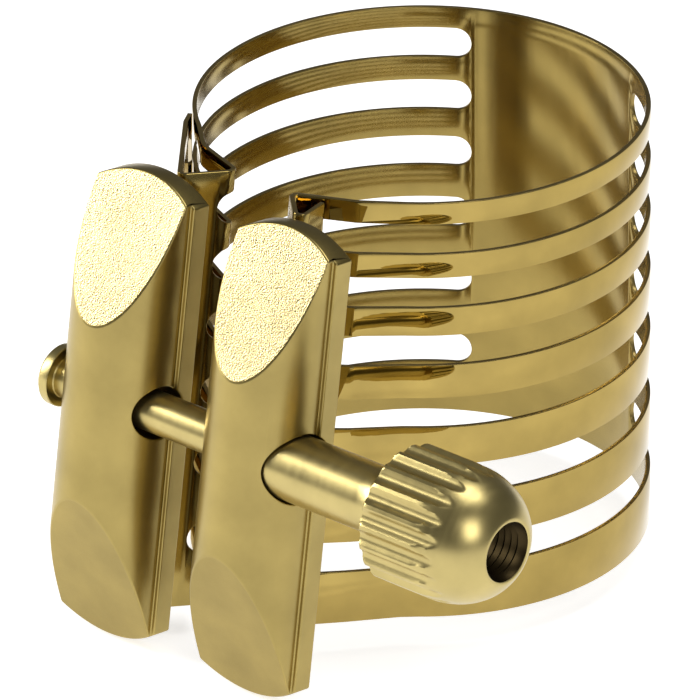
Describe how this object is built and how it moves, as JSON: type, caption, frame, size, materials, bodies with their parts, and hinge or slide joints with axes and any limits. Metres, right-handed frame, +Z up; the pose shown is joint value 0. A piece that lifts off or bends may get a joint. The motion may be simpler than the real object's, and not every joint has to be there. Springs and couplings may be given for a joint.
{
  "type": "saxophone ligature",
  "caption": "Slotted brass band drawn round a saxophone mouthpiece by a screw and a knurled thumb nut, which pull together solid bars on the band's folded ends.",
  "frame": {"origin": "on the bore's axis, level with the band's lower edge", "axes": "+Z up the bore towards the mouthpiece's tip, +X along the screw towards the thumb nut, -Y from the bore to the bars"},
  "size_m": [0.0397, 0.0401, 0.0299],
  "materials": {
    "band_brass": "satin outside, polished inside",
    "satin_brass": "bead blasted, with matte ends",
    "solder": "dull silver solder",
    "turned_brass": "turned, satin"
  },
  "bodies": {
    "right_half": {"band_right": "band_brass", "bar_right": "satin_brass", "solder_right": "solder"},
    "left_half": {"band_left": "band_brass", "bar_left": "satin_brass", "solder_left": "solder"},
    "screw": {"clamp_screw": "turned_brass"},
    "nut": {"thumb_nut": "turned_brass"}
  },
  "joints": [
    {"name": "band_flex", "type": "hinge", "parent": "right_half", "child": "left_half", "pos_m": [0, 0.01386, 0.014], "axis": [0, 0, 1], "range_deg": [-1.65, 2.2]},
    {"name": "screw_pull", "type": "slide", "parent": "right_half", "child": "screw", "axis": [1, 0, 0], "range_m": [-0.001, 0.00135]},
    {"name": "nut_turn", "type": "hinge", "parent": "right_half", "child": "nut", "pos_m": [0.016, -0.02168, 0.0144], "axis": [-1, 0, 0], "range_deg": [-722, 976]}
  ],
  "couplings": [
    {"joint": "nut_turn", "follows": "screw_pull", "rad_per_m": 12566},
    {"joint": "band_flex", "follows": "screw_pull", "rad_per_m": 28.135}
  ]
}
